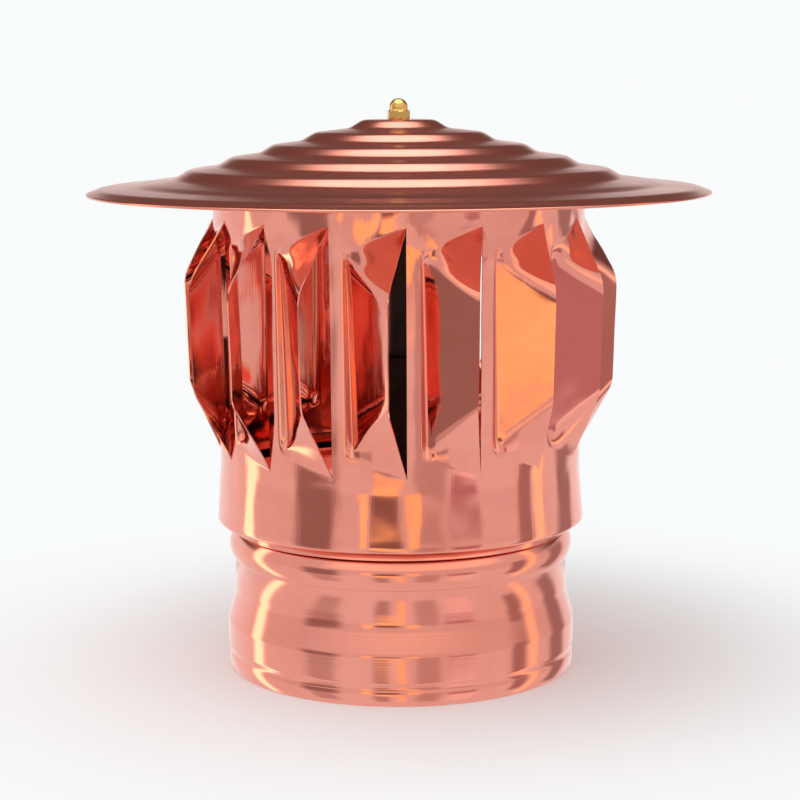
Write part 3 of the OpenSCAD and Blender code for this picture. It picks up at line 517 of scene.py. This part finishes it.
def make_pattern(name):
    flat, flat_post = press_pattern(0, 0)
    out, out_post = press_pattern(BULGE, 0)
    inn, in_post = press_pattern(0, VALLEY)
    base, first = add_skirt_and_ring(flat + flat_post)
    pressed, _ = add_skirt_and_ring(out + out_post)
    folded, _ = add_skirt_and_ring(inn + in_post)
    n_rows, n_left, n_all = len(base[0]), len(flat), len(base)
    mesh = bpy.data.meshes.new(name)
    window = (first + 2, first + len(flat[0]) - 3)
    faces = []
    for j in range(n_all - 1):
        for i in range(n_rows - 1):
            if j == n_left - 1:
                continue
            k = j * n_rows + i
            faces.append((k, k + n_rows, k + n_rows + 1, k + 1))
    points = np.concatenate(base) * MM
    mesh.from_pydata(points.tolist(), [], faces)
    for label, columns, stroke in (("stroke out", pressed, BULGE), ("stroke in", folded, VALLEY)):
        push = (np.concatenate(columns) * MM - points) / (stroke * MM)
        mesh.attributes.new(label, "FLOAT_VECTOR", "POINT").data.foreach_set("vector", push.ravel().astype(np.float32))
    mesh.update()
    print(name, ":", n_all, "columns of", n_rows, "points")
    return mesh

pattern = make_pattern("louvre pattern")

# %% [markdown]
# Now the tool itself, as a Geometry Nodes tree. It moves every point of the
# pattern by the two strokes, repeats the louvre round the drum, joins the seams,
# and adds the slight waves that hand pressing leaves in thin copper. Solidify
# then gives the sheet its thickness on the inside. The result is turned into a
# plain mesh, so that the export has one solid piece and no live modifier.

# %% Geometry Nodes: press the louvres and repeat them round the drum
def new_tree(name, inputs):
    """A Geometry Nodes tree. inputs: (name, socket type, default)."""
    tree = bpy.data.node_groups.new(name, "GeometryNodeTree")
    tree.interface.new_socket("Geometry", in_out="INPUT", socket_type="NodeSocketGeometry")
    for label, kind, default in inputs:
        socket = tree.interface.new_socket(label, in_out="INPUT", socket_type=kind)
        if default is not None:
            socket.default_value = default
    tree.interface.new_socket("Geometry", in_out="OUTPUT", socket_type="NodeSocketGeometry")
    return tree, tree.nodes.new("NodeGroupInput"), tree.nodes.new("NodeGroupOutput")

def use_tree(obj, tree, **values):
    """Adds the tree as a modifier and sets its inputs by their identifiers."""
    modifier = obj.modifiers.new(tree.name, "NODES")
    modifier.node_group = tree
    known = {s.name.replace(" ", "_"): s.identifier for s in tree.interface.items_tree
             if s.item_type == "SOCKET" and s.in_out == "INPUT"}
    for label, value in values.items():
        modifier[known[label]] = value
    return modifier

def make_plain(obj, sharp=40):
    """Replaces the object's mesh by what its modifiers make of it."""
    evaluated = obj.evaluated_get(bpy.context.evaluated_depsgraph_get())
    mesh, old = bpy.data.meshes.new_from_object(evaluated), obj.data
    obj.modifiers.clear()
    obj.data, mesh.name = mesh, obj.name
    bpy.data.meshes.remove(old)
    for label in ("stroke out", "stroke in"):
        if label in mesh.attributes:
            mesh.attributes.remove(mesh.attributes[label])
    mesh.shade_smooth()
    mesh.set_sharp_from_angle(angle=math.radians(sharp))
    return mesh

def make_press_tree():
    tree, gin, gout = new_tree("press and repeat louvres", [
        ("Louvres", "NodeSocketInt", 16), ("Turn", "NodeSocketFloat", 0.0),
        ("Stroke out", "NodeSocketFloat", 0.01), ("Stroke in", "NodeSocketFloat", 0.003),
        ("Wave height", "NodeSocketFloat", 0.0), ("Wave size", "NodeSocketFloat", 20.0),
        ("Extra at the ring", "NodeSocketFloat", 0.0),
        ("Seed", "NodeSocketFloat", 3.0), ("Finish", "NodeSocketMaterial", None)])
    o = gin.outputs
    push = None
    for stroke in ("out", "in"):
        way = add(tree, "GeometryNodeInputNamedAttribute", data_type="FLOAT_VECTOR", Name="stroke " + stroke)
        part = add(tree, "ShaderNodeVectorMath", operation="SCALE", in0=way.outputs[0], Scale=o["Stroke " + stroke])
        push = part.outputs[0] if push is None else add(
            tree, "ShaderNodeVectorMath", operation="ADD", in0=push, in1=part.outputs[0]).outputs[0]
    pressed = add(tree, "GeometryNodeSetPosition", Geometry=o["Geometry"], Offset=push)
    centres = add(tree, "GeometryNodePoints", Count=o["Louvres"])
    step = math_node(tree, "DIVIDE", 2 * math.pi, o["Louvres"])
    index = tree.nodes.new("GeometryNodeInputIndex").outputs[0]
    angle = math_node(tree, "MULTIPLY_ADD", index, step, o["Turn"])
    spin = add(tree, "ShaderNodeCombineXYZ", Z=angle)
    ring = add(tree, "GeometryNodeInstanceOnPoints", Points=centres.outputs[0],
               Instance=pressed.outputs[0], Rotation=spin.outputs[0])
    real = add(tree, "GeometryNodeRealizeInstances", Geometry=ring.outputs[0])
    joined = add(tree, "GeometryNodeMergeByDistance", Geometry=real.outputs[0], Distance=0.00001)
    noise = add(tree, "ShaderNodeTexNoise", noise_dimensions="4D", W=o["Seed"], Scale=o["Wave size"],
                Detail=1.5, Roughness=0.45)
    wave = math_node(tree, "MULTIPLY", math_node(tree, "SUBTRACT", noise.outputs["Fac"], 0.5), o["Wave height"])
    height = add(tree, "ShaderNodeSeparateXYZ", in0=tree.nodes.new("GeometryNodeInputPosition").outputs[0]).outputs[2]
    above = ramp(tree, height, 0.222, 0.258)
    wave = math_node(tree, "MULTIPLY", wave, math_node(tree, "MULTIPLY_ADD", above, o["Extra at the ring"], 1.0))
    normal = tree.nodes.new("GeometryNodeInputNormal").outputs[0]
    shift = add(tree, "ShaderNodeVectorMath", operation="SCALE", in0=normal, Scale=wave)
    waved = add(tree, "GeometryNodeSetPosition", Geometry=joined.outputs[0], Offset=shift.outputs[0])
    done = add(tree, "GeometryNodeSetMaterial", Geometry=waved.outputs[0], Material=o["Finish"])
    tree.links.new(done.outputs[0], gout.inputs["Geometry"])
    return tree

def new_object(name, mesh):
    obj = bpy.data.objects.new(name, mesh)
    bpy.context.scene.collection.objects.link(obj)
    return obj

def make_drum():
    drum = new_object("louvred_drum", pattern)
    use_tree(drum, make_press_tree(), Louvres=LOUVRES, Turn=math.radians(TURN),
             Stroke_out=BULGE * MM, Stroke_in=VALLEY * MM, Wave_height=0.0010, Wave_size=38.0,
             Extra_at_the_ring=3.0,
             Seed=3.0, Finish=METALS["copper_drum"])
    wall = drum.modifiers.new("sheet", "SOLIDIFY")
    wall.thickness, wall.offset = SHEET * MM, -1.0
    mesh = make_plain(drum)
    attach(drum, "rotor")
    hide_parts("vane_drum")
    print("drum:", len(mesh.vertices), "points,", sum(len(p.vertices) - 2 for p in mesh.polygons), "triangles")
    return drum

drum = make_drum()

# %% [markdown]
# The cap and the socket are spun: a disc and a tube of sheet are pressed against
# a turning former, which is why every section through them is the same. A lathe
# in code does that too: one closed outline, in radius and height, is carried
# round the axis. The outline's corners are softened first, because sheet can't
# take a sharp fold.

# %% Lathe for the spun pieces
def soften(line, radius, count=7):
    """Rounds the inner corners of an open line of (radius, height)."""
    line = [np.array(p, float) for p in line]
    out = [line[0]]
    for i in range(1, len(line) - 1):
        back, front = line[i - 1] - line[i], line[i + 1] - line[i]
        d = min(radius, 0.45 * np.linalg.norm(back), 0.45 * np.linalg.norm(front))
        a = line[i] + back / np.linalg.norm(back) * d
        b = line[i] + front / np.linalg.norm(front) * d
        out += [a * u + line[i] * v + b * w for u, v, w in bend_rows(count)]
    return out + [line[-1]]

def spin(name, outline, around=256, sharp=50):
    """Turns a closed outline of (radius, height), in mm, about the axis."""
    n = len(outline)
    angles = np.linspace(0, 2 * math.pi, around, endpoint=False)
    points = [(r * math.sin(t) * MM, -r * math.cos(t) * MM, z * MM) for t in angles for r, z in outline]
    faces = [(j * n + i, (j + 1) % around * n + i, (j + 1) % around * n + (i + 1) % n, j * n + (i + 1) % n)
             for j in range(around) for i in range(n)]
    mesh = bpy.data.meshes.new(name)
    mesh.from_pydata(points, [], faces)
    tidy_normals(mesh)
    mesh.shade_smooth()
    mesh.set_sharp_from_angle(angle=math.radians(sharp))
    return new_object(name, mesh)

def tidy_normals(mesh):
    work = bmesh.new()
    work.from_mesh(mesh)
    bmesh.ops.remove_doubles(work, verts=work.verts, dist=1e-7)
    bmesh.ops.recalc_face_normals(work, faces=work.faces)
    work.to_mesh(mesh)
    work.free()

# %% Spun cap
CROWN_Z, CAP_R, WIRE_R, UNDER = 316.778, 178.1, 0.75, 0.88

def cap_line():
    """Ground line of the cap: radius and fall below the crown."""
    line, fall = [(4.2, 0.04), (20.6, 0.2)], 0.2
    for start, end in ((20.6, 48.0), (48.0, 72.1), (72.1, 96.2), (96.2, 120.3), (120.3, 144.4)):
        line += [(start + 7.8, fall + 4.85), (end, fall + 6.95)]
        fall += 6.95
    return line + [(152.2, fall + 1.6), (170.7, fall + 3.0), (CAP_R - WIRE_R, fall + 5.6)]

def make_cap():
    top = soften([(r, CROWN_Z - fall) for r, fall in cap_line()], 2.6)
    edge = top[-1]
    wire = [edge + WIRE_R * np.array([math.sin(t), math.cos(t) - 1]) for t in np.radians(np.arange(20, 241, 20))]
    under = [p - (0, UNDER) for p in top if p[0] < CAP_R - 2.4 * WIRE_R]
    cap = spin("spun_cap", top + wire + under[::-1], around=320)
    cap.data.materials.append(METALS["copper_cap"])
    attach(cap, "rotor")
    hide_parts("cap")
    print("cap:", len(cap.data.polygons), "faces")
    return cap

cap = make_cap()

# %% Spun socket with its bead, groove and band
FLUE_R, SOCKET_H, WAIST_Z, NECK_TOP = 100.4, 28.5, 44.5, 111.0

def bead_line(count=32):
    return [np.array((WAIST_R + BEAD_OUT * math.sin(math.pi * k / count) ** 0.8, BEAD_Z + BEAD_H * k / count))
            for k in range(count + 1)]

def make_socket():
    rim = FLUE_R + SHEET
    band = rim + 0.4
    outer = [(rim - 0.3, 0), (rim, 0.3)]
    outer += [(rim - 0.35 * max(0, 1 - (t / 1.8) ** 2), 9.8 + t) for t in np.linspace(-1.8, 1.8, 13)]
    outer += [(rim, 12.2), (band, 12.8)]
    outer += [tuple(p) for p in soften([(band, 14), (band, SOCKET_H - 0.8), (rim, SOCKET_H + 0.8),
                                        (WAIST_R + 0.6, WAIST_Z - 3), (WAIST_R, WAIST_Z), (WAIST_R, 50)], 2.5)]
    outer += bead_line()
    inner_bead = [(p[0] - SHEET, mix(p[1], BEAD_Z + BEAD_H / 2, 0.05)) for p in bead_line() if p[0] > WAIST_R + 0.5]
    ri = WAIST_R - SHEET
    inner = [(WAIST_R, NECK_TOP), (ri, NECK_TOP), (ri, BEAD_Z + BEAD_H - 0.6)] + inner_bead[::-1]
    inner += [(ri, BEAD_Z + 0.6), (ri, WAIST_Z), (FLUE_R, SOCKET_H), (FLUE_R, 0)]
    socket = spin("beaded_socket", [tuple(p) for p in outer] + inner, around=256)
    socket.data.materials.append(METALS["copper_socket"])
    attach(socket, "base")
    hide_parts("base_collar")
    print("socket:", len(socket.data.polygons), "faces")
    return socket

socket = make_socket()

# %% [markdown]
# Rivets hold the bridge's feet in the neck and the hub plate in the ring. All of
# them have the same low dome outside and the same set head inside, so one rivet
# is made and a Geometry Nodes tree puts it in pairs round the axis.

# %% Geometry Nodes: rivets in pairs round the axis
def make_rivet_tree():
    tree, gin, gout = new_tree("rivets round the axis", [
        ("Pairs", "NodeSocketInt", 4), ("First angle", "NodeSocketFloat", 0.0),
        ("Half spread", "NodeSocketFloat", 0.05), ("Height", "NodeSocketFloat", 0.1),
        ("Finish", "NodeSocketMaterial", None)])
    o = gin.outputs
    count = math_node(tree, "MULTIPLY", o["Pairs"], 2.0)
    index = tree.nodes.new("GeometryNodeInputIndex").outputs[0]
    pair = math_node(tree, "FLOOR", math_node(tree, "MULTIPLY", index, 0.5))
    side = math_node(tree, "MULTIPLY_ADD", math_node(tree, "FLOORED_MODULO", index, 2.0), 2.0, -1.0)
    turn = math_node(tree, "DIVIDE", math_node(tree, "MULTIPLY", pair, 2 * math.pi), o["Pairs"])
    turn = math_node(tree, "ADD", turn, o["First angle"])
    turn = math_node(tree, "MULTIPLY_ADD", side, o["Half spread"], turn)
    where = add(tree, "ShaderNodeCombineXYZ", Z=o["Height"])
    points = add(tree, "GeometryNodePoints", Count=count, Position=where.outputs[0])
    ring = add(tree, "GeometryNodeInstanceOnPoints", Points=points.outputs[0], Instance=o["Geometry"],
               Rotation=add(tree, "ShaderNodeCombineXYZ", Z=turn).outputs[0])
    real = add(tree, "GeometryNodeRealizeInstances", Geometry=ring.outputs[0])
    done = add(tree, "GeometryNodeSetMaterial", Geometry=real.outputs[0], Material=o["Finish"])
    tree.links.new(done.outputs[0], gout.inputs["Geometry"])
    return tree

RIVET_TREE = make_rivet_tree()
HEAD_R, HEAD_H, SHANK_R = 3.4, 1.4, 2.0

def rivet_mesh(name, outer_r, inner_r):
    """One rivet along +X. Its seat is where a head of this size meets the round wall."""
    out = outer_r + 0.025
    back = math.sqrt(inner_r ** 2 - HEAD_R ** 2) - 0.025
    line = [(0, back - HEAD_H), (HEAD_R * 0.8, back - HEAD_H), (HEAD_R, back), (SHANK_R, back), (SHANK_R, out)]
    line += [(HEAD_R * math.cos(t), out + HEAD_H * math.sin(t)) for t in np.linspace(0, math.pi / 2, 7)]
    around = 28
    points = [(x * MM, r * math.cos(t) * MM, r * math.sin(t) * MM)
              for t in np.linspace(0, 2 * math.pi, around, endpoint=False) for r, x in line]
    n = len(line)
    faces = [(j * n + i, (j + 1) % around * n + i, (j + 1) % around * n + i + 1, j * n + i + 1)
             for j in range(around) for i in range(n - 1)]
    mesh = bpy.data.meshes.new(name)
    mesh.from_pydata(points, [], faces)
    tidy_normals(mesh)
    return mesh

def make_rivets(name, node, body, slot, outer_r, inner_r, height, first, spread):
    rivets = new_object(name, rivet_mesh(name, outer_r, inner_r))
    use_tree(rivets, RIVET_TREE, Pairs=4, First_angle=math.radians(first), Half_spread=math.radians(spread),
             Height=height * MM, Finish=METALS[slot])
    mesh = make_plain(rivets, 50)
    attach(rivets, body)
    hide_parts(node)
    print(name, ":", len(mesh.polygons), "faces")
    return rivets

foot_rivets = make_rivets("foot_rivets", "bridge_rivets", "base", SLOT_OF["bridge_rivets"],
                          WAIST_R, 93.25, 96.35, 0.0, 3.272)
ring_rivets = make_rivets("ring_rivets", "plate_rivets", "rotor", SLOT_OF["plate_rivets"],
                          RING_R, RING_R - SHEET - 0.1 - 1.5, DRUM_TOP - 9.5, TURN + 22.5, 22.5)

# %% [markdown]
# The domed nut is turned and milled from brass bar. Its radius at each height is
# the smaller of two shapes, a hexagon and a turned cone or dome, which gives the
# curved edges that chamfering leaves on a real nut.

# %% Domed cap nut
def make_nut():
    half, dome_r, total, hexagon = 6.0, 5.35, 11.8, 5.0
    corner = half / math.cos(math.pi / 6)
    rows = [(0, half), (0.0, corner - 0.9), (0.55, corner), (1.2, corner), (3.8, corner), (4.45, corner),
            (hexagon - 0.12, corner - 0.75), (hexagon, corner - 1.0), (hexagon, dome_r + 0.35),
            (hexagon + 0.1, dome_r + 0.12), (hexagon + 0.4, dome_r)]
    rows += [(total - dome_r + dome_r * math.sin(t), dome_r * math.cos(t)) for t in np.linspace(0, math.pi / 2, 14)]
    around, points = 120, []
    for k in range(around):
        t = 2 * math.pi * k / around
        flat = half / math.cos((math.degrees(t) + 30) % 60 * math.pi / 180 - math.pi / 6)
        a = math.radians(5.2 + TURN) + t
        for z, r in rows:
            r = min(r, flat)
            points.append((r * math.cos(a) * MM, r * math.sin(a) * MM, (CROWN_Z + z) * MM))
    n = len(rows)
    faces = [(k * n + i, (k + 1) % around * n + i, (k + 1) % around * n + i + 1, k * n + i + 1)
             for k in range(around) for i in range(n - 1)]
    faces.append([k * n for k in range(around)][::-1])
    mesh = bpy.data.meshes.new("domed_nut")
    mesh.from_pydata(points, [], faces)
    tidy_normals(mesh)
    mesh.shade_smooth()
    mesh.set_sharp_from_angle(angle=math.radians(32))
    mesh.materials.append(METALS["brass_nut"])
    nut = new_object("domed_nut", mesh)
    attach(nut, "rotor")
    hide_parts("acorn_nut")
    print("nut:", len(mesh.polygons), "faces")
    return nut

nut = make_nut()
